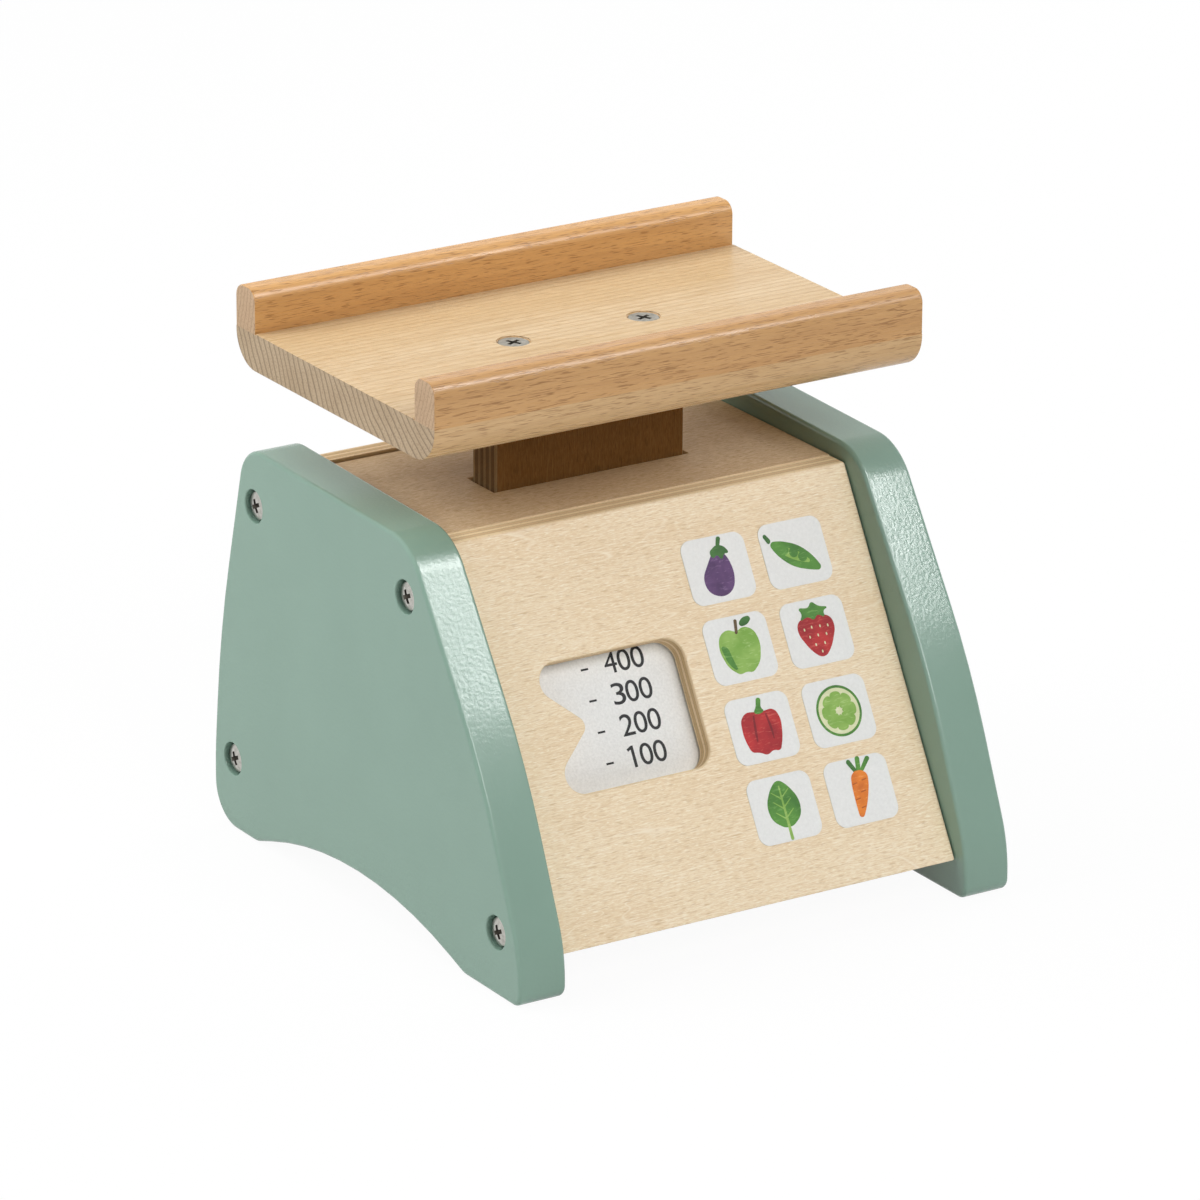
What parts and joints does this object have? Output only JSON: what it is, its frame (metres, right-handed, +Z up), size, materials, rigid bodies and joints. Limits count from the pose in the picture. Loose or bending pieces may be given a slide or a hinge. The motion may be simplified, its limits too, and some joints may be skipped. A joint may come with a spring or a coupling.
{
  "type": "toy kitchen scale",
  "caption": "Wooden toy kitchen scale: a tray on a sprung post sinks into a slanted housing and moves a number card behind a window with a pointer.",
  "frame": {"origin": "centre of the footprint, on the surface that the toy stands on", "axes": "+X to the right as seen from the front, +Y to the back, +Z up"},
  "size_m": [0.162, 0.1672, 0.1653],
  "materials": {
    "sage_paint": "satin sage-green paint on wood",
    "birch_plywood": "clear-coated pale plywood",
    "beech": "clear-coated solid beech",
    "dowel_wood": "bare turned wood",
    "zinc_steel": "zinc-plated steel",
    "card_paper": "matt white card",
    "sticker_paper": "matt white sticker"
  },
  "bodies": {
    "housing": {"left_side_panel": "sage_paint", "right_side_panel": "sage_paint", "front_panel": "birch_plywood", "back_panel": "birch_plywood", "top_panel": "birch_plywood", "floor_panel": "birch_plywood", "screw_left_front_low": "zinc_steel", "screw_left_front_high": "zinc_steel", "screw_left_back_low": "zinc_steel", "screw_left_back_high": "zinc_steel", "screw_right_front_low": "zinc_steel", "screw_right_front_high": "zinc_steel", "screw_right_back_low": "zinc_steel", "screw_right_back_high": "zinc_steel", "sticker_row_1_column_1": "sticker_paper", "sticker_row_1_column_2": "sticker_paper", "sticker_row_2_column_1": "sticker_paper", "sticker_row_2_column_2": "sticker_paper", "sticker_row_3_column_1": "sticker_paper", "sticker_row_3_column_2": "sticker_paper", "sticker_row_4_column_1": "sticker_paper", "sticker_row_4_column_2": "sticker_paper", "guide_dowel": "dowel_wood", "return_spring": "zinc_steel"},
    "tray": {"tray_base": "beech", "tray_front_rail": "beech", "tray_rear_rail": "beech", "tray_screw_left": "zinc_steel", "tray_screw_right": "zinc_steel", "post": "birch_plywood", "stop_dowel_left": "dowel_wood", "stop_dowel_right": "dowel_wood", "number_board": "birch_plywood", "number_card": "card_paper", "board_arm_left": "birch_plywood", "board_arm_right": "birch_plywood"}
  },
  "joints": [
    {"name": "tray_press", "type": "slide", "parent": "housing", "child": "tray", "axis": [0, 0, -1], "range_m": [0, 0.018], "stiffness_N_per_m": 320, "springref_m": -0.0125, "deforming": ["return_spring"]}
  ]
}
